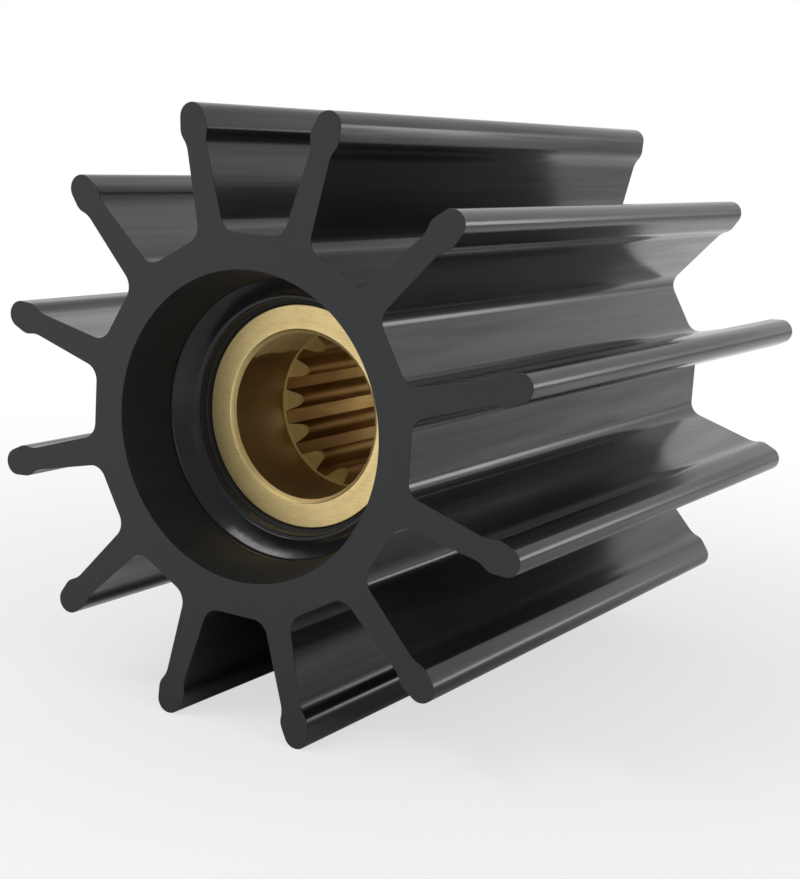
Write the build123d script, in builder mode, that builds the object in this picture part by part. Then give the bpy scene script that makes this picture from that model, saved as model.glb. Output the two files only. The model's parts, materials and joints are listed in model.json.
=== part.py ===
from build123d import *
import math
import os

# Flexible pump impeller: a moulded rubber vane body, bonded to a splined brass insert.
# Millimetres. The shaft axis is Y and the front face looks along -Y. Z is up, and the origin
# is on the axis, half way along. The impeller lies on the two vanes beside straight down.

# Rubber: vanes and hub
vane_count = 12
first_vane_angle = 15.0        # degrees from +X towards +Z
tip_diameter = 95.0            # over the sealing beads
body_length = 103.5
hub_across_flats = 56.1        # the valleys between vanes have flat floors
vane_root_thickness = 4.6      # at the level of those floors
vane_neck_thickness = 3.3      # flanks carried on to the bead's centre
root_fillet = 2.6
neck_fillet = 4.0

# Rubber: sealing bead along each vane's tip, an egg drawn round two circles
bead_width = 4.85
bead_tip_width = 4.2
bead_centres = 1.7             # between the two circles

# Rubber: recess at each end of the hub, moulded round the face of the insert
insert_setback = 14.75         # from the ends of the vanes to the insert's face
recess_mouth_diameter = 45.8
recess_draft = 8.9             # degrees, the straight wall closes in as it goes deeper
floor_step = 1.75              # the floor's inner edge stands this far above the insert's face
dish_height = 2.95             # the floor is dished, and climbs this far to the foot of the wall
dish_angle = 40.0              # degrees between the dish and the axis at the foot of the wall
dish_fillet = 0.8              # between the wall and the dish
groove_width = 1.05            # V groove round the insert's face, down from the floor
groove_depth = 0.6             # below the insert's face

# Brass: insert
spigot_diameter = 34.2         # bare end that shows in the recess
spigot_length = 2.6
spigot_shoulder = 0.9          # from the spigot out to a flat of the hexagon bar behind it

# Brass: bore and internal spline for the shaft
spline_teeth = 14
spline_major_diameter = 25.0
pilot_clearance = 0.25         # the pilot bore is this much larger in radius than the spline
pilot_chamfer = 0.7
pilot_depth = 13.25            # from the face to the start of the lead-in cone
lead_in_angle = 36.0           # degrees between the cone and the axis
tooth_height = 1.85
tooth_root_width = 3.9
tooth_tip_width = 1.7
tooth_tip_chamfer = 0.45
first_tooth_angle = 2.8        # degrees from +X towards +Z

tip_radius = tip_diameter / 2
hub_flat = hub_across_flats / 2
face_y = -body_length / 2
insert_face_y = face_y + insert_setback
spigot_radius = spigot_diameter / 2

# Plane.XZ is the view from the front, with X to the right and Z up. Turned about -Y, its own
# X runs along the first vane, or along the first tooth.
vane_plane = Plane.XZ.rotated((0, -first_vane_angle, 0))
tooth_plane = Plane.XZ.rotated((0, -first_tooth_angle, 0))

# Outer form of the insert: hexagon bar, held in the rubber and kept from turning in it, with a
# round spigot turned at each end
with BuildPart() as insert_blank:
    with BuildSketch(Plane.XZ):
        RegularPolygon(spigot_radius + spigot_shoulder, 6, major_radius=False)
    extrude(amount=-insert_face_y - spigot_length, both=True)
    with BuildSketch(Plane.XZ):
        Circle(spigot_radius)
    extrude(amount=-insert_face_y, both=True)

# Section of one internal spline tooth, along +X: a chamfered tip, and flanks that spread to the root
spline_major_radius = spline_major_diameter / 2
spline_minor_radius = spline_major_radius - tooth_height
pilot_radius = spline_major_radius + pilot_clearance
with BuildSketch() as tooth:
    Polygon(
        (spline_minor_radius, -tooth_tip_width / 2),
        (pilot_radius, -tooth_root_width / 2),
        (pilot_radius, tooth_root_width / 2),
        (spline_minor_radius, tooth_tip_width / 2),
        align=None,
    )
    chamfer(tooth.vertices().group_by(Axis.X)[0], tooth_tip_chamfer)

# Brass insert: the blank, bored from both ends and broached
cone_end_radius = spline_minor_radius - pilot_chamfer
cone_length = (pilot_radius - cone_end_radius) / math.tan(math.radians(lead_in_angle))
shoulder_y = insert_face_y + pilot_depth
with BuildPart() as splined_insert:
    add(insert_blank.part)
    with BuildSketch() as bore_section:
        with BuildLine():
            Polyline(
                (0, insert_face_y),
                (pilot_radius + pilot_chamfer, insert_face_y),
                (pilot_radius, insert_face_y + pilot_chamfer),
                (pilot_radius, shoulder_y),
                (cone_end_radius, shoulder_y + cone_length),
                (0, shoulder_y + cone_length),
                close=True,
            )
        make_face()
        mirror(about=Plane.XZ)
    revolve(axis=Axis.Y, mode=Mode.SUBTRACT)
    with BuildSketch(tooth_plane) as broach:
        Circle(spline_major_radius)
        with PolarLocations(0, spline_teeth):
            add(tooth.sketch, mode=Mode.SUBTRACT)
    extrude(amount=-insert_face_y, both=True, mode=Mode.SUBTRACT)

# Section of one vane, along +X: tapered flanks that swell into the bead
bead_outer_centre = tip_radius - bead_tip_width / 2
bead_inner_centre = bead_outer_centre - bead_centres
with BuildSketch() as bead:
    with Locations((bead_inner_centre, 0)):
        Circle(bead_width / 2)
    with Locations((bead_outer_centre, 0)):
        Circle(bead_tip_width / 2)
    make_hull()

root_half = vane_root_thickness / 2
neck_half = vane_neck_thickness / 2
flank_taper = (root_half - neck_half) / (bead_inner_centre - hub_flat)
axis_half = root_half + flank_taper * hub_flat
with BuildSketch() as vane:
    Polygon(
        (0, -axis_half),
        (bead_inner_centre, -neck_half),
        (bead_inner_centre, neck_half),
        (0, axis_half),
        align=None,
    )
    add(bead.sketch)
    fillet(vane.vertices().group_by(Axis.X)[1], neck_fillet)

# Rubber vane body: the star of vanes, recessed at both ends and moulded round the insert
mouth_radius = recess_mouth_diameter / 2
wall_slope = math.tan(math.radians(recess_draft))
wall_depth = insert_setback - floor_step - dish_height
wall_end = (mouth_radius - wall_depth * wall_slope, face_y + wall_depth)
floor_edge = (spigot_radius + groove_width, insert_face_y - floor_step)
dish_start = (-math.sin(math.radians(dish_angle)), math.cos(math.radians(dish_angle)))
groove_bottom = (spigot_radius, insert_face_y + groove_depth)
with BuildPart() as vane_body:
    with BuildSketch(vane_plane) as star:
        RegularPolygon(hub_flat, vane_count, major_radius=False)
        with PolarLocations(0, vane_count):
            add(vane.sketch)
        fillet(star.vertices().group_by(SortBy.DISTANCE)[0], root_fillet)
    extrude(amount=body_length / 2, both=True)
    with BuildSketch() as recess_section:
        with BuildLine():
            Polyline((0, face_y), (mouth_radius, face_y), wall_end)
            TangentArc(wall_end, floor_edge, tangent=dish_start)
            Polyline(floor_edge, groove_bottom, (0, insert_face_y + groove_depth), (0, face_y))
        make_face()
        fillet(recess_section.vertices().sort_by_distance(wall_end)[0], dish_fillet)
        mirror(about=Plane.XZ)
    revolve(axis=Axis.Y, mode=Mode.SUBTRACT)
    add(insert_blank.part, mode=Mode.SUBTRACT)

os.makedirs("parts", exist_ok=True)
vane_body.part.label = "vane_body"
splined_insert.part.label = "splined_insert"
export_step(vane_body.part, "parts/vane_body.step")
export_step(splined_insert.part, "parts/splined_insert.step")
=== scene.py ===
# %% [markdown]
# A flexible pump impeller, dressed for its portrait. It has two pieces: a black rubber body with
# twelve straight vanes, and a brass insert with a splined bore that is bonded into its middle.
# The CAD model gives every size. This notebook builds finer meshes of the same two forms, gives
# them their moulded, ground, turned and broached surfaces, and sets up a small photo studio.

# %% Load the CAD model as a fixed frame
import bpy
import bmesh
import json
import math
from mathutils import Matrix, Vector

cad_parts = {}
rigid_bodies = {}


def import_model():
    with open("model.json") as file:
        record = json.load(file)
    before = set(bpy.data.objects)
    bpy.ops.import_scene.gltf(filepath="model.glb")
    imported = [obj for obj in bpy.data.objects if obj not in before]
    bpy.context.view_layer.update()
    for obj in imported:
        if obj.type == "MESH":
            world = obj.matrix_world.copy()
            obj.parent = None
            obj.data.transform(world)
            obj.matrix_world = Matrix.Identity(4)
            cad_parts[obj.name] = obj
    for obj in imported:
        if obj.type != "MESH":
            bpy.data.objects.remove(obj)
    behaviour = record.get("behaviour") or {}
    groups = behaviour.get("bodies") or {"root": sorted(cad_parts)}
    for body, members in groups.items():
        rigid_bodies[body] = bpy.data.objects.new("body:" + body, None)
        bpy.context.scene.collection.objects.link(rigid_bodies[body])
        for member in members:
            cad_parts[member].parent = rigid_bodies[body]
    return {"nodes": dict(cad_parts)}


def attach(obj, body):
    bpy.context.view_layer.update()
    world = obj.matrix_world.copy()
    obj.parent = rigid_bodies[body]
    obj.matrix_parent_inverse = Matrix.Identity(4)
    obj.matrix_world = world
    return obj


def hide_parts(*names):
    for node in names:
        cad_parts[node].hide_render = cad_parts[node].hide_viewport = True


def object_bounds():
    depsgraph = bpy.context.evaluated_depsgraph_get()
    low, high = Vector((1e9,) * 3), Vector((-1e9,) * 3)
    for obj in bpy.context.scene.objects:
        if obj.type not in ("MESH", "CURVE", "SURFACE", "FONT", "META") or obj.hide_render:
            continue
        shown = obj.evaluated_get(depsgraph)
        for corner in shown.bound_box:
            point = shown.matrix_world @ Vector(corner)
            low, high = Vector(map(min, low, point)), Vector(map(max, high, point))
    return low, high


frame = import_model()
cad_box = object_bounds()
print("nodes:", frame["nodes"], "box:", cad_box)

# %% [markdown]
# The camera stands to the right of the shaft axis and a little above it, close to the front face,
# so the far ends of the vanes look much smaller than the near ones. Its place and its three angles
# could be tried by eye. Here they come from fitting a pinhole camera to the tips of the vanes,
# and the lens follows from the same fit.

# %% Camera
scene = bpy.context.scene
mm = 0.001


def look(yaw, pitch, roll):
    """Turn for a camera that looks along +Y at first: left by yaw, down by pitch, then rolled."""
    level = Vector((math.cos(yaw), math.sin(yaw), 0))
    ahead = Vector((-math.sin(yaw), math.cos(yaw), 0))
    forward = ahead * math.cos(pitch) - Vector((0, 0, math.sin(pitch)))
    upright = level.cross(forward)
    right = level * math.cos(roll) + upright * math.sin(roll)
    up = upright * math.cos(roll) - level * math.sin(roll)
    return Matrix((right, up, -forward)).transposed().to_4x4()


camera = bpy.data.objects.new("camera", bpy.data.cameras.new("camera"))
scene.collection.objects.link(camera)
camera.data.lens = 70.77
camera_place = Vector((144.5, -251.8, 45.6)) * mm
camera.matrix_world = Matrix.Translation(camera_place) @ look(
    math.radians(30.58), math.radians(10.55), math.radians(3.59))
scene.camera = camera
print("camera is", round(camera_place.length / mm), "mm from the middle of the impeller")

# %% [markdown]
# A material is a small sum over the surface, so it reads best as one. This class wraps a node's
# output socket. Python's + - and * add the Math nodes behind it, also where a number comes first,
# as in 1 - mask. Every other node comes from one method, which sets the node before its sockets.

# %% Shader sums written as Python
class Socket:
    """The output of a shader node, which + - and * build on."""

    def __init__(self, tree, output=None):
        self.tree = tree
        self.output = output

    def node(self, kind, inputs, output=0, **settings):
        """Add any node: its settings first, then the values or links of its sockets."""
        made = self.tree.nodes.new("ShaderNode" + kind)
        for name, value in settings.items():
            setattr(made, name, value)
        for name, value in inputs.items():
            if isinstance(value, Socket):
                self.tree.links.new(value.output, made.inputs[name])
            else:
                made.inputs[name].default_value = value
        return Socket(self.tree, made.outputs[output] if made.outputs else None)

    def maths(self, operation, first, second):
        return self.node("Math", {0: first, 1: second}, operation=operation)

    def __add__(self, other):
        return self.maths("ADD", self, other)

    def __sub__(self, other):
        return self.maths("SUBTRACT", self, other)

    def __rsub__(self, other):
        return self.maths("SUBTRACT", other, self)

    def __mul__(self, other):
        return self.maths("MULTIPLY", self, other)

    __radd__ = __add__
    __rmul__ = __mul__

    def between(self, low, high, to_low=0.0, to_high=1.0):
        """Spread the values from low to high over another range, held at its ends."""
        ranges = {"From Min": low, "From Max": high, "To Min": to_low, "To Max": to_high}
        return self.node("MapRange", {"Value": self, **ranges}, interpolation_type="SMOOTHSTEP")

    def blend(self, first, second):
        """Mix two colours by this mask."""
        return self.node("Mix", {0: self, 6: first, 7: second}, output=2, data_type="RGBA")

    def bump(self, depth, under=None):
        """Turn heights from 0 to 1 into a bumped normal, depth in metres, over another or none."""
        inputs = {"Height": self, "Strength": 1.0, "Distance": depth}
        if under:
            inputs["Normal"] = under
        return self.node("Bump", inputs)


print("Socket is ready")

# %% [markdown]
# Each finish is one material with one Principled shader. A value that is the same all over goes on
# the shader's own socket. Patterns are read at Object coordinates, which are metres from the middle
# of the impeller, so a scale is a number of marks per metre and each axis can have its own.

# %% A material and its patterns
class Surface:
    """A material with one Principled shader and the patterns that feed it."""

    def __init__(self, name, **constants):
        self.material = bpy.data.materials.new(name)
        self.material.use_nodes = True
        self.tree = self.material.node_tree
        self.shader = self.tree.nodes["Principled BSDF"]
        for socket, value in constants.items():
            self.shader.inputs[socket.replace("_", " ")].default_value = value
        self.start = Socket(self.tree)
        self.place = self.start.node("TexCoord", {}, output="Object")

    def stretched(self, x, y, z):
        """Object coordinates times a scale for each axis."""
        return self.start.node("Mapping", {"Vector": self.place, "Scale": (x, y, z)})

    def noise(self, vector, detail=2.0, roughness=0.5, distortion=0.0):
        character = {"Detail": detail, "Roughness": roughness, "Distortion": distortion}
        return self.start.node("TexNoise", {"Vector": vector, "Scale": 1.0, **character})

    def from_axis(self):
        """Distance from the shaft axis."""
        return self.start.node("VectorMath", {0: self.stretched(1, 0, 1)}, output="Value",
                               operation="LENGTH")

    def along_axis(self):
        """Distance along the shaft axis, from the middle towards the rear."""
        return self.start.node("SeparateXYZ", {"Vector": self.place}, output="Y")

    def feed(self, **sockets):
        """Link what changes over the surface to the shader."""
        for name, value in sockets.items():
            self.tree.links.new(value.output, self.shader.inputs[name.replace("_", " ")])


print("Surface is ready")

# %% [markdown]
# Rubber this dark shows hardly any colour of its own. What the eye reads is what it mirrors, so the
# surroundings matter more than the lamps. They could be an image, but a light tent is simple: white
# cloth on all sides, which grows dim towards the opening above the camera. Only mirroring rays see
# the tent. The camera sees plain white behind the impeller, and dull surfaces get an even light.

# %% World
scene.view_settings.view_transform = "Standard"
world = bpy.data.worlds.new("light_tent")
world.use_nodes = True
world.node_tree.nodes.clear()
scene.world = world


def ray_kinds(start):
    """1 for rays that show the background itself, and 1 for rays that mirror it."""
    seen = start.maths("MAXIMUM", start.node("LightPath", {}, output="Is Camera Ray"),
                       start.node("LightPath", {}, output="Is Transmission Ray"))
    return seen, start.node("LightPath", {}, output="Is Glossy Ray")


def tent(start, direction):
    """How bright the tent looks in a direction."""
    cloth, open_side = 0.9, 0.45
    opening = Vector((0.45, -0.70, 0.50)).normalized()
    toward = start.node("VectorMath", {0: direction, 1: opening}, output="Value",
                        operation="DOT_PRODUCT")
    return toward.between(0.2, 0.7, cloth, open_side)


sky = Socket(world.node_tree)
seen, mirrored = ray_kinds(sky)
tent_light = tent(sky, sky.node("TexCoord", {}, output="Generated"))
ambient = 0.55
strength = ambient + seen * (1 - ambient) + mirrored * (tent_light - ambient)
glow = sky.node("Background", {"Color": (1, 1, 1, 1), "Strength": strength})
sky.node("OutputWorld", {"Surface": glow})
print("world has", len(world.node_tree.nodes), "nodes")

# %% [markdown]
# Three soft boxes add what the tent lacks. The first hangs in front and to the left, where the
# floor of the recess mirrors it as a bright arc. The second gives the right-hand side its light.
# The third is small and low behind, and the far ends of the vanes mirror it as bright patches.

# %% Soft boxes
def softbox(name, place, aim, size, radiance):
    """A rectangular area lamp. Its power follows from how bright its face is to look at."""
    data = bpy.data.lights.new(name, "AREA")
    data.shape = "RECTANGLE"
    data.size, data.size_y = size
    data.energy = radiance * math.pi * size[0] * size[1]
    lamp = bpy.data.objects.new(name, data)
    scene.collection.objects.link(lamp)
    lamp.location = place
    lamp.rotation_euler = (Vector(aim) - Vector(place)).to_track_quat("-Z", "Y").to_euler()
    print(name, "gives", round(data.energy, 2), "W")


softbox("overhead_box", (-0.28, -0.42, 0.50), (-0.245, -0.25, 0), (0.42, 0.10), 9.5)
softbox("side_box", (0.62, -0.20, 0.25), (0, 0, 0), (0.30, 0.40), 1.5)
softbox("back_box", (0.46, 0.66, 0.08), (0, 0, 0), (0.16, 0.16), 3)

# %% [markdown]
# The vanes and the recess floor come straight from a polished mould, so the rubber there is glossy
# black. Its shine could be one number, but real moulded rubber flows along the vane and leaves
# faint streaks. Noise that is drawn out along Y gives them, in the roughness and as a shallow bump.
# On the vanes, a clear coat of uneven weight makes some streaks shinier than others and leaves
# their black alone.

# %% Moulded rubber
moulded = Surface("moulded_rubber", IOR=1.38, Coat_Roughness=0.14)
flow = moulded.noise(moulded.stretched(260, 9, 260), detail=3)
streaks = moulded.noise(moulded.stretched(1500, 30, 1500))
clouds = moulded.noise(moulded.stretched(170, 14, 170))
pores = moulded.noise(moulded.stretched(5200, 5200, 5200), detail=1)
on_vanes = moulded.from_axis().between(0.022, 0.026)
shine = clouds.between(0.35, 0.65) * 0.28 + streaks.between(0.35, 0.65) * 0.12
moulded.feed(
    Base_Color=clouds.between(0.35, 0.7).blend(
        (0.0082, 0.0088, 0.0108, 1), (0.0110, 0.0118, 0.0140, 1)),
    Roughness=0.13 + flow * 0.1 + streaks * 0.06,
    Coat_Weight=0.1 + shine * on_vanes,
    Normal=pores.bump(0.000004, streaks.bump(0.000006, flow.bump(0.00008))),
)
print("moulded rubber has", len(moulded.tree.nodes), "nodes")

# %% [markdown]
# The wall of the recess is shaped by a core of the mould that isn't polished as the rest is. It is
# black too, but it blurs what it mirrors, so the brass beside it leaves no clear image there.

# %% Cored rubber
cored = Surface("cored_rubber", IOR=1.43)
drag = cored.noise(cored.stretched(700, 60, 700), detail=3)
cored.feed(
    Base_Color=drag.between(0.3, 0.7).blend(
        (0.0080, 0.0092, 0.0116, 1), (0.0108, 0.0122, 0.0148, 1)),
    Roughness=0.46 + drag * 0.16,
    Normal=drag.bump(0.00001),
)
print("cored rubber has", len(cored.tree.nodes), "nodes")

# %% [markdown]
# The two ends are ground to length after moulding, which leaves them flat, crisp at the edges and
# dull. A dull surface is rough on a scale too fine to see, so most of it is the roughness value,
# with a fine grain on top and a slight mottling from the rubber's filler.

# %% Ground rubber
ground = Surface("ground_rubber", IOR=1.5)
grain = ground.noise(ground.stretched(6500, 6500, 6500))
mottle = ground.noise(ground.stretched(170, 170, 170), detail=4, roughness=0.6)
ground.feed(
    Base_Color=mottle.between(0.3, 0.7).blend(
        (0.0165, 0.0178, 0.0198, 1), (0.0205, 0.0218, 0.0242, 1)),
    Roughness=0.52 + mottle * 0.16,
    Normal=grain.bump(0.000012),
)
print("ground rubber has", len(ground.tree.nodes), "nodes")

# %% [markdown]
# The insert is cut on a lathe, and a lathe tool leaves fine rings round the axis on everything it
# turns. A wave texture would make them all alike. Noise that is read at the distance from the
# axis, and at the depth along it, gives rings of uneven spacing, as a real tool does. Handling has
# scratched the face, while the chamfer and the ends of the teeth behind it show deeper tool marks.

# %% Turned brass
def rings(surface, scale):
    """Noise that is the same all round the axis."""
    read_at = {"X": surface.from_axis() * scale, "Y": surface.along_axis() * scale}
    return surface.noise(surface.start.node("CombineXYZ", read_at))


turned = Surface("turned_brass", Metallic=1.0)
fine_rings = rings(turned, 5200)
broad_rings = rings(turned, 900)
lathe_marks = rings(turned, 2600)
stains = turned.noise(turned.stretched(210, 210, 210), detail=4, roughness=0.65)
scratches = turned.noise(turned.stretched(380, 380, 5200), detail=3, distortion=0.3)
on_face = turned.start.maths("ABSOLUTE", turned.along_axis(), 0).between(0.0366, 0.0369)
aged = stains.between(0.4, 0.8) * 0.35 + broad_rings.between(0.4, 0.8) * 0.3
scratched = scratches.between(0.5, 0.65) * 0.4 * on_face
marked = lathe_marks.between(0.4, 0.6) * 0.6 * (1 - on_face)
turned.feed(
    Base_Color=(aged + scratched + marked).blend((0.88, 0.69, 0.33, 1), (0.66, 0.50, 0.215, 1)),
    Roughness=0.27 + broad_rings * 0.1 + stains * 0.06 + scratches * 0.06 + (1 - on_face) * 0.2,
    Normal=scratches.bump(0.000004, fine_rings.bump(0.000005, broad_rings.bump(0.000006))),
)
print("turned brass has", len(turned.tree.nodes), "nodes")

# %% [markdown]
# Further in, the bore for the shaft's shoulder is finer than the face: a boring bar takes light
# cuts there. It mirrors the opposite wall, brass on brass, and that makes it deep brown. Its colour
# is also painted darker than the turned brass, as painted shade. Along one side, up and to the
# left, the brass is made rougher and less metallic, and its colour is painted light gold there: a
# painted pool of light. A plane that cuts off a slice of the bore marks that side, with noise to
# fray its edge.

# %% Bored brass
bored = Surface("bored_brass")
painted_light_side = (-0.5, 0, 0.866)          # from the axis, up and to the left
bar_marks = rings(bored, 2600)
oil = bored.noise(bored.stretched(160, 60, 160), detail=3)
ragged = bored.noise(bored.stretched(900, 500, 900), detail=3)
across = bored.start.node("VectorMath", {0: bored.place, 1: painted_light_side}, output="Value",
                          operation="DOT_PRODUCT")
# Mask of the painted pool of light on one side of the bore, also rougher and less metallic there
painted_light_patch = (across + ragged * 0.0008).between(0.0121, 0.0125)
# The bore's browns are painted darker than the turned brass, as painted shade; oil varies them at
# random
painted_shade_bore_brown = oil.between(0.3, 0.75).blend((0.62, 0.485, 0.27, 1), (0.52, 0.40, 0.21, 1))
bored.feed(
    Base_Color=(painted_light_patch * (1 - ragged * 0.4)).blend(painted_shade_bore_brown, (0.95, 0.76, 0.36, 1)),
    Metallic=1 - painted_light_patch * 0.25,
    Roughness=0.34 + bar_marks * 0.1 + painted_light_patch * 0.24,
    Normal=bar_marks.bump(0.0000012),
)
print("bored brass has", len(bored.tree.nodes), "nodes")

# %% [markdown]
# A broach is pulled through the bore in one stroke, so its marks run along the shaft. The brass
# there is painted a darker brown than nearer the mouth, as painted shade deep in the bore, and
# tarnish varies that brown at random.

# %% Broached brass
broached = Surface("broached_brass", Metallic=1.0)
strokes = broached.noise(broached.stretched(2600, 25, 2600))
tarnish = broached.noise(broached.stretched(260, 90, 260), detail=3)
broached.feed(
    # Both browns are dark as painted shade deep in the bore
    Base_Color=tarnish.between(0.35, 0.7).blend(
        (0.46, 0.30, 0.105, 1), (0.30, 0.185, 0.055, 1)),
    Roughness=0.3 + strokes * 0.14,
    Normal=strokes.bump(0.000008),
)
print("broached brass has", len(broached.tree.nodes), "nodes")

# %% [markdown]
# Both pieces are the same all round, so half a vane or half a tooth is enough to draw. Its outline
# could be a list of points. Sweeping the last vertex of a chain round a centre is closer to how a
# draughtsman works, with a compass and a ruler. The mesh is drawn in millimetres and scaled to
# metres when it is finished.

# %% Compass and ruler
front_view = Vector((0, -1, 0))          # turns from +X towards +Z
plan_view = Vector((0, 0, 1))            # turns from +X towards +Y


def at(degrees, radius=1.0, centre=(0, 0)):
    """The point at a bearing and a distance from a centre."""
    return Vector((centre[0] + radius * math.cos(math.radians(degrees)),
                   centre[1] + radius * math.sin(math.radians(degrees))))


def bearing(vector):
    return math.degrees(math.atan2(vector[1], vector[0])) % 360


def arc(mesh, start, centre, axis, degrees, steps):
    """Compass: carry a chain on from its last vertex, round a centre."""
    made = bmesh.ops.spin(mesh, geom=[start], cent=centre, axis=axis,
                          angle=math.radians(degrees), steps=steps)
    return next(item for item in made["geom_last"] if isinstance(item, bmesh.types.BMVert))


def line(mesh, start, end):
    """Ruler: carry a chain on from its last vertex, straight to a point."""
    made = bmesh.ops.extrude_vert_indiv(mesh, verts=[start])["verts"][0]
    made.co = end
    return made


print("compass and ruler are ready")

# %% [markdown]
# Each vane is a slim blade that swells into a bead at its tip, where it wipes the pump's wall, and
# flares into the hub at its root. Half of its outline is drawn along +X: the tip, the bead, the
# neck, the flank, the root and half of the valley floor. Where two curves touch, the line between
# their centres gives the point, and that is ordinary arithmetic.

# %% Sizes of a vane, in millimetres
vane_count = 12
half_sector = 180 / vane_count           # degrees, from the middle of a vane to that of a valley
half_length = 51.75
hub_flat = 28.05                         # from the axis to a valley's flat floor
bead_outer, outer_radius = Vector((45.4, 0)), 2.1
bead_inner, inner_radius = Vector((43.7, 0)), 2.425
neck_round, root_round = 4.0, 2.6
root = Vector((hub_flat, 2.3))           # where the flank reaches the level of the floor
neck_half = 1.65                         # half the blade, carried on to the bead's inner centre
blade = (Vector((bead_inner.x, neck_half)) - root).normalized()
off_blade = Vector((-blade.y, blade.x))
valley = at(half_sector)                 # from the axis to the middle of the valley

# The neck's centre is on a line beside the flank, as far from the bead's centre as both radii
beside_neck = root + off_blade * neck_round - bead_inner
back = beside_neck.dot(blade)
reach = inner_radius + neck_round
neck_centre = bead_inner + beside_neck - blade * (
    back + math.sqrt(back ** 2 - beside_neck.length_squared + reach ** 2))
# The root's centre is on a line beside the flank, one radius above the valley's floor
beside_root = root + off_blade * root_round
rise = hub_flat + root_round - beside_root.dot(valley)
root_centre = beside_root + blade * (rise / blade.dot(valley))

taper = (inner_radius - outer_radius) / (bead_outer - bead_inner).length
bead_slope = 90 - math.degrees(math.asin(taper))
neck_bearing = bearing(neck_centre - bead_inner)
flank_bearing = bearing(-off_blade)
print("the neck leaves the bead at", round(neck_bearing, 1), "degrees from the tip")

# %% Half the outline of one vane
beside = 0.25                            # a flat starts this far from a curve, to be shaded flat


def flat(point):
    """A point of the front view, on the front face."""
    return Vector((point[0], -half_length, point[1]))


body = bmesh.new()
tip = body.verts.new(flat((bead_outer.x + outer_radius, 0)))
chain = arc(body, tip, flat(bead_outer), front_view, bead_slope, 9)
chain = line(body, chain, flat(at(bead_slope, inner_radius, bead_inner)))
chain = arc(body, chain, flat(bead_inner), front_view, neck_bearing - bead_slope, 6)
chain = arc(body, chain, flat(neck_centre), front_view, flank_bearing - (neck_bearing + 180), 6)
flank_start = neck_centre - off_blade * neck_round
flank_end = root_centre - off_blade * root_round
for point in (flank_start - blade * beside, flank_end + blade * beside, flank_end):
    chain = line(body, chain, flat(point))
chain = arc(body, chain, flat(root_centre), front_view, bearing(-valley) - flank_bearing, 9)
floor_start = root_centre - valley * root_round
floor_middle = valley * hub_flat
to_middle = (floor_middle - floor_start).normalized()
for point in (floor_start + to_middle * beside, floor_middle):
    chain = line(body, chain, flat(point))
print("half an outline has", len(body.verts), "vertices")

# %% [markdown]
# Mirrored, the outline is one vane with half a valley on each side. Closing it along the mouth of
# the recess makes one flat face, a twelfth of the impeller's front. Eleven copies complete it, and
# pulling the outer rim back along the axis gives all the vanes at once. Only the front half is
# built, because a mirror gives the rear.

# %% Copies round the axis, and rings that grow
def all_of(mesh):
    return mesh.verts[:] + mesh.edges[:] + mesh.faces[:]


def repeat_round(mesh, count):
    """Copy what the mesh holds round the axis, and join the copies."""
    bmesh.ops.spin(mesh, geom=all_of(mesh), cent=(0, 0, 0), axis=front_view,
                   angle=math.tau * (count - 1) / count, steps=count - 1, use_duplicate=True)
    bmesh.ops.remove_doubles(mesh, verts=mesh.verts[:], dist=0.002)


def turn_all(mesh, degrees):
    bmesh.ops.rotate(mesh, verts=mesh.verts[:], cent=(0, 0, 0),
                     matrix=Matrix.Rotation(math.radians(degrees), 3, front_view))


def axis_distance(point):
    return math.hypot(point.x, point.z)


def to_mid_length(point):
    return Vector((point.x, 0, point.z))


def grow(mesh, edges, move):
    """Extrude a ring of edges and put each new vertex where move says. Gives the new ring."""
    made = bmesh.ops.extrude_edge_only(mesh, edges=edges)["geom"]
    for vertex in [item for item in made if isinstance(item, bmesh.types.BMVert)]:
        vertex.co = move(vertex.co)
    return [item for item in made
            if isinstance(item, bmesh.types.BMEdge) and all(v in made for v in item.verts)]


print("tools for copies and rings are ready")

# %% From one outline to twelve vanes
first_vane = 15                          # degrees from +X towards +Z
mouth_radius = 22.9                      # of the recess
mouth_steps = 12                         # edges along one vane's share of the mouth
moulded_slot, ground_slot, cored_slot = range(3)
bmesh.ops.mirror(body, geom=all_of(body), matrix=Matrix.Identity(4), merge_dist=0.001, axis="Z")
ends = sorted((v for v in body.verts if len(v.link_edges) == 1), key=lambda v: v.co.z)
mouth = [line(body, end, flat(at(degrees, mouth_radius)))
         for end, degrees in zip(ends, (-half_sector, half_sector))]
arc(body, mouth[0], (0, -half_length, 0), front_view, 2 * half_sector, mouth_steps)
bmesh.ops.remove_doubles(body, verts=body.verts[:], dist=0.001)
bmesh.ops.contextual_create(body, geom=body.edges[:])
turn_all(body, first_vane)
repeat_round(body, vane_count)
print("front face has", len(body.faces), "sectors,", len(body.edges), "edges")

outer_rim = [edge for edge in body.edges if edge.is_boundary
             and all(axis_distance(v.co) > hub_flat - 0.1 for v in edge.verts)]
grow(body, outer_rim, to_mid_length)
for face in body.faces:
    face.material_index = ground_slot if abs(face.normal.y) > 0.5 else moulded_slot
print("twelve vanes have", len(body.faces), "faces")

# %% [markdown]
# The recess is drawn the same way, as half a section seen from above, and spun round the axis.
# Its wall closes in with the mould's draft, and a small rounding joins it to the floor. The floor
# leaves the wall at 57 degrees to the axis and is slightly crowned, so that it falls away to 36
# degrees. From there a tight arc lays it flat at its edge. Round the insert the mould leaves a
# groove with a thin raised lip, which catches the light as a fine line.

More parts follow.
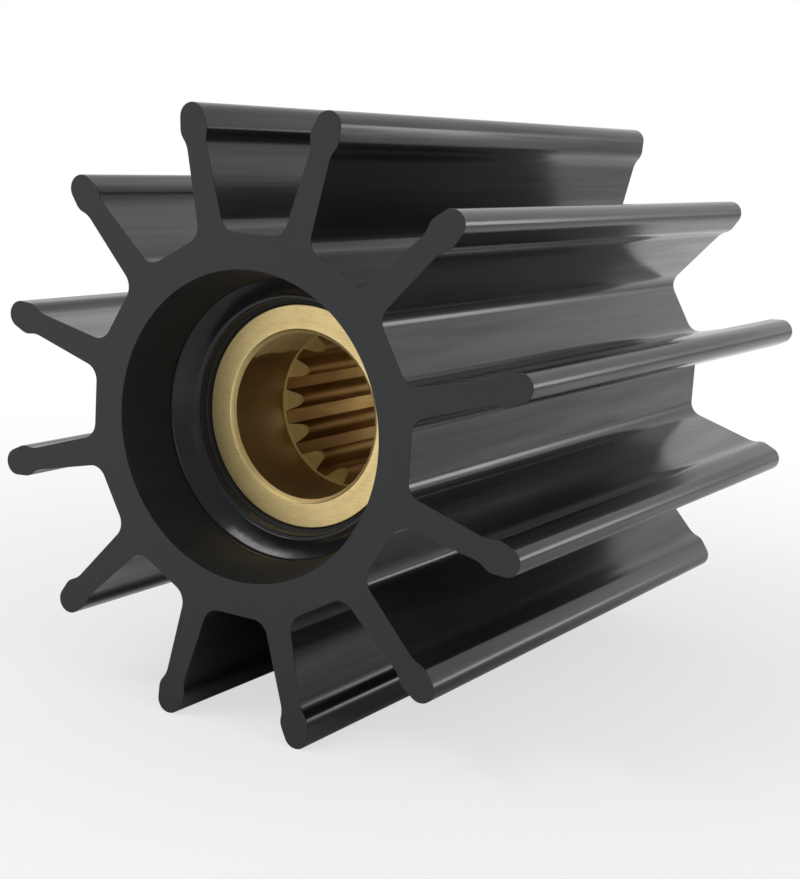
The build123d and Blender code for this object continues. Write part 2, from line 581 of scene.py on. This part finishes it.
# %% Sizes of the recess
wall_draft, wall_depth = 8.9, 10.05
wall_end = Vector((mouth_radius - wall_depth * math.tan(math.radians(wall_draft)),
                   -half_length + wall_depth))
floor_edge = Vector((18.33, -39.07))
insert_radius, insert_face = 17.1, -37.0
above_foot = 0.2                         # the straight wall ends this far above the rounding
foot_round, edge_round = 1.0, 0.45
crown_slope, edge_slope = 57, 36
edge_centre = floor_edge + at(270) * edge_round
crown_end = edge_centre + at(edge_slope) * edge_round
into_crown = at(180 + crown_slope)
chord = crown_end - wall_end
# This comes out negative, because the crown's centre lies behind the floor
crown_radius = chord.length_squared / (2 * chord.dot(into_crown))
crown_centre = wall_end + into_crown * crown_radius
# The rounding at the foot touches the wall and, nearly, the tangent of the crown
foot_reach = foot_round * math.tan(math.radians(crown_slope - wall_draft) / 2)
wall_line = at(90 + wall_draft)
foot_start = wall_end - wall_line * foot_reach
foot_centre = foot_start + at(180 + wall_draft) * foot_round
crown_start = wall_end + at(90 + crown_slope) * foot_reach
crown_turn = bearing(crown_end - crown_centre) - bearing(crown_start - crown_centre)
groove = ((18.14, -39.04), (18.0, -38.9), (17.94, -38.6), (17.78, -37.62), (17.68, -37.45))
lip = ((17.52, -37.36), (17.38, -37.38), (17.28, -37.1), (insert_radius, -36.4))
print("the floor's crown has a radius of", round(abs(crown_radius), 2), "mm")

# %% Recess
def section(point):
    """A point of the plan view."""
    return Vector((point[0], point[1], 0))


recess = bmesh.new()
chain = recess.verts.new((mouth_radius, -half_length, 0))
chain = line(recess, chain, section(foot_start - wall_line * above_foot))
chain = line(recess, chain, section(foot_start))
chain = arc(recess, chain, section(foot_centre), plan_view, crown_slope - wall_draft, 6)
chain = arc(recess, chain, section(crown_centre), plan_view, crown_turn, 5)
chain = arc(recess, chain, section(edge_centre), plan_view, 90 - edge_slope, 6)
for point in groove + lip:
    chain = line(recess, chain, section(point))
bmesh.ops.spin(recess, geom=all_of(recess), cent=(0, 0, 0), axis=front_view, angle=math.tau,
               steps=vane_count * mouth_steps, use_merge=True)
bmesh.ops.remove_doubles(recess, verts=recess.verts[:], dist=0.001)
into_groove = 0.2                        # the floor's finish goes this far round its edge
for face in recess.faces:
    depth = face.calc_center_median().y
    on_floor = foot_start.y <= depth <= floor_edge.y + into_groove
    face.material_index = moulded_slot if on_floor else cored_slot
print("recess has", len(recess.faces), "faces")

# %% [markdown]
# Two meshes become one when one is loaded into the other and the vertices along their shared
# mouth are merged. They line up, because both have 144 edges there.

# %% Join the recess to the vanes
part = bpy.data.meshes.new("recess")
recess.to_mesh(part)
recess.free()
body.from_mesh(part)
bpy.data.meshes.remove(part)
bmesh.ops.remove_doubles(body, verts=body.verts[:], dist=0.002)
print("with its recess the rubber has", len(body.faces), "faces")

# %% [markdown]
# Inside, the rubber grips the insert's hexagon core. Nobody sees it, but the piece stands for a
# solid and stays one: a ring along the spigot, a shoulder and the six flats. The insert gets the
# same core, face to face with it.

# %% Inner wall
spigot_length = 2.6
core_start = insert_face + spigot_length
core_flat = 18.0                         # from the axis to a flat of the core


def hexagon_core(mesh, ring):
    """A shoulder from a round ring out to the hexagon, and its six flats on to the middle."""
    lie = Matrix.Translation((0, core_start, 0)) @ Matrix.Rotation(math.radians(-90), 4, "X")
    corners = bmesh.ops.create_circle(mesh, segments=6, matrix=lie,
                                      radius=core_flat / math.cos(math.radians(30)))["verts"]
    outline = [edge for edge in mesh.edges if all(v in corners for v in edge.verts)]
    bmesh.ops.bridge_loops(mesh, edges=ring + outline)
    grow(mesh, outline, to_mid_length)


spigot_ring = [edge for edge in body.edges if edge.is_boundary
               and all(v.co.y < insert_face / 2 and axis_distance(v.co) < insert_radius + 0.1
                       for v in edge.verts)]
hexagon_core(body, grow(body, spigot_ring, lambda point: Vector((point.x, core_start, point.z))))
print("the spigot ring has", len(spigot_ring), "edges, the rubber", len(body.faces), "faces")

# %% [markdown]
# The rims of the ground face get a rounding of a tenth of a millimetre, which keeps them crisp and
# still lets them catch light.

# %% Rims
def is_rim(edge):
    """Does this edge lie on the front face, where the face turns a corner?"""
    on_front = all(abs(v.co.y + half_length) < 0.001 for v in edge.verts)
    return on_front and len(edge.link_faces) == 2 and edge.calc_face_angle(0) > math.radians(30)


rims = [edge for edge in body.edges if is_rim(edge)]
print("softening", len(rims), "rim edges")
bmesh.ops.bevel(body, geom=rims, offset=0.1, offset_type="OFFSET", segments=2, profile=0.5,
                affect="EDGES", clamp_overlap=True, material=-1)

# %% [markdown]
# A finished piece is mirrored to its full length, scaled to metres and handed to the frame, where
# it stands for its CAD solid. Curved sides are shaded smooth, up to an angle of 20 degrees between
# two faces. The flat ends are not, so that they stay flat to the eye.

# %% Finish a piece
def finish_piece(mesh, name, node, surfaces):
    """Join the front half to its mirror image, scale to metres and hand over to the frame."""
    bmesh.ops.mirror(mesh, geom=all_of(mesh), matrix=Matrix.Identity(4), merge_dist=0.001,
                     axis="Y")
    bmesh.ops.remove_doubles(mesh, verts=mesh.verts[:], dist=0.001)
    bmesh.ops.recalc_face_normals(mesh, faces=mesh.faces[:])
    bmesh.ops.scale(mesh, vec=(mm, mm, mm), verts=mesh.verts[:])
    for face in mesh.faces:
        face.smooth = abs(face.normal.y) < 0.9999
    for edge in mesh.edges:
        edge.smooth = len(edge.link_faces) == 2 and edge.calc_face_angle(0) < math.radians(20)
    open_edges = sum(1 for edge in mesh.edges if len(edge.link_faces) != 2)
    volume = round(mesh.calc_volume() / mm ** 3)
    print(name, len(mesh.faces), "faces,", open_edges, "open edges,", volume, "cubic mm")
    data = bpy.data.meshes.new(name)
    mesh.to_mesh(data)
    mesh.free()
    for surface in surfaces:
        data.materials.append(surface.material)
    piece = bpy.data.objects.new(name, data)
    scene.collection.objects.link(piece)
    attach(piece, "root")
    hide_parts(node)


finish_piece(body, "rubber_vane_body", "vane_body", [moulded, ground, cored])

# %% [markdown]
# The spline's teeth have round tips and flanks that spread to the root. As for the vanes, half a
# tooth is drawn, mirrored and copied. A flank is a straight run that leaves the round tip on a
# tangent, and it ends where it crosses the root circle.

# %% Half a tooth
tooth_count = 14
half_tooth = 180 / tooth_count           # degrees
pilot_radius, root_radius, tooth_tip = 12.75, 12.5, 10.65
tip_round = 1.25
tooth_base = Vector((pilot_radius, 1.95))
tip_centre = Vector((tooth_tip + tip_round, 0))
to_base = tooth_base - tip_centre
leaving = bearing(to_base) + math.degrees(math.acos(tip_round / to_base.length))
leave_point = at(leaving, tip_round, tip_centre)
# The flank crosses the root circle at the share of its run that solves a quadratic equation
flank_run = tooth_base - leave_point
run_squared = flank_run.length_squared
outward = leave_point.dot(flank_run)
beyond = leave_point.length_squared - root_radius ** 2
crossing_share = (-outward + math.sqrt(outward ** 2 - run_squared * beyond)) / run_squared
crossing = leave_point + flank_run * crossing_share

insert = bmesh.new()
chain = insert.verts.new((tooth_tip, 0, 0))
chain = arc(insert, chain, (tip_centre.x, 0, 0), front_view, leaving - 180, 6)
for share in (1 / 3, 2 / 3, 1):
    point = leave_point.lerp(crossing, share)
    chain = line(insert, chain, (point.x, 0, point.y))
arc(insert, chain, (0, 0, 0), front_view, half_tooth - bearing(crossing), 5)
print("a tooth is", round(2 * crossing.y, 2), "mm wide at its root")

# %% Spline section
first_tooth = 2.8                        # degrees from +X towards +Z
bmesh.ops.mirror(insert, geom=all_of(insert), matrix=Matrix.Identity(4), merge_dist=0.001,
                 axis="Z")
turn_all(insert, first_tooth)
repeat_round(insert, tooth_count)
print("spline section has", len(insert.verts), "vertices")

# %% [markdown]
# The section starts half way along the bore. Each ring that follows is the last one, extruded and
# moved: first on to the lead-in cone, where a vertex lies deeper the nearer it is to the axis, then
# out to the bore, the face and the outside. A bevel could break the edges afterwards, but a few
# more rings do it here with every vertex in line.

# %% Rings of the insert, from the spline out to the core
pilot_depth = 13.25                      # from the face to the lead-in cone
shoulder_y = insert_face + pilot_depth
cone_slope = 1 / math.tan(math.radians(36))
chamfer = 0.7
chamfer_radius = pilot_radius + chamfer  # where it meets the face


def onto_cone(point):
    depth = (pilot_radius - axis_distance(point)) * cone_slope
    return Vector((point.x, shoulder_y + depth, point.z))


def onto_ring(radius, depth):
    """Out to a circle round the axis, at a depth behind the insert's face."""
    def move(point):
        wide = radius / axis_distance(point)
        return Vector((point.x * wide, insert_face + depth, point.z * wide))
    return move


ring = grow(insert, insert.edges[:], onto_cone)
# Beside each corner a ring lies a few hundredths of a millimetre away, and breaks the edge
for radius, depth in (
        (pilot_radius, pilot_depth), (pilot_radius, chamfer + 0.06),
        (pilot_radius + 0.02, chamfer - 0.03), (chamfer_radius - 0.03, 0.02),
        (chamfer_radius + 0.06, 0), (insert_radius - 0.16, 0), (insert_radius - 0.07, 0.02),
        (insert_radius - 0.02, 0.07), (insert_radius, 0.16), (insert_radius, spigot_length)):
    ring = grow(insert, ring, onto_ring(radius, depth))
print("the last ring has", len(ring), "edges")

# %% [markdown]
# Each face of the insert takes the finish of the tool that cut it: the broach between the teeth,
# the boring bar ahead of them, and the lathe on all the rest. A face's direction and its distance
# from the axis tell which one that is. The hexagon core then closes the piece.

# %% Finishes and core of the insert
turned_slot, broached_slot, bored_slot = range(3)
insert.normal_update()
for face in insert.faces:
    middle = face.calc_center_median()
    if abs(face.normal.y) < 0.05 and axis_distance(middle) < pilot_radius + 0.01:
        face.material_index = broached_slot if middle.y > shoulder_y else bored_slot
    else:
        face.material_index = turned_slot
hexagon_core(insert, ring)
finish_piece(insert, "splined_brass_insert", "splined_insert",
             [turned, broached, bored])

# %% [markdown]
# The hidden CAD solids keep a finished surface too, in case someone shows them.

# %% Finish for the CAD solids
for name, surface in (("vane_body", moulded), ("splined_insert", turned)):
    for thing in bpy.data.objects:
        if thing.type == "MESH" and thing.name == name:
            thing.data.materials.clear()
            thing.data.materials.append(surface.material)
            print("finish given to", name)

# %% [markdown]
# The floor is a pale board that the impeller stands on with the beads of its two lowest vanes. It
# keeps the soft shadow under them and turns to plain white further out, so that no horizon shows.
# Glossy surfaces mirror it as a floor that glows, a little dimmer on the right.

# %% Floor
board = bmesh.new()
bmesh.ops.create_circle(board, cap_ends=True, segments=96, radius=6)
bmesh.ops.translate(board, verts=board.verts[:], vec=(0, 0, cad_box[0][2]))
data = bpy.data.meshes.new("floor")
board.to_mesh(data)
board.free()
floor = bpy.data.objects.new("floor", data)
scene.collection.objects.link(floor)

paint = bpy.data.materials.new("floor_board")
paint.use_nodes = True
paint.node_tree.nodes.clear()
start = Socket(paint.node_tree)
place = start.node("TexCoord", {}, output="Object")
distance = start.node("VectorMath", {0: place}, output="Value", operation="LENGTH")
aside = start.node("SeparateXYZ", {"Vector": place}, output="X")
seen, mirrored = ray_kinds(start)
lit = start.node("BsdfDiffuse", {"Color": (0.86, 0.86, 0.86, 1)})
white = start.node("Emission", {"Color": (1, 1, 1, 1), "Strength": 1.0})
whiteness = distance.between(0.05, 0.26, 0.66, 1.0)
shown = start.node("MixShader", {0: seen * whiteness, 1: lit, 2: white})
shine_back = aside.between(0.02, 0.25, 1.0, 0.6)
far = start.node("Emission", {"Color": (1, 1, 1, 1), "Strength": shine_back})
both = start.node("MixShader", {0: mirrored * distance.between(0.08, 0.22), 1: shown, 2: far})
start.node("OutputMaterial", {"Surface": both})
floor.data.materials.append(paint)
print("floor lies at", round(cad_box[0][2] / mm, 2), "mm")
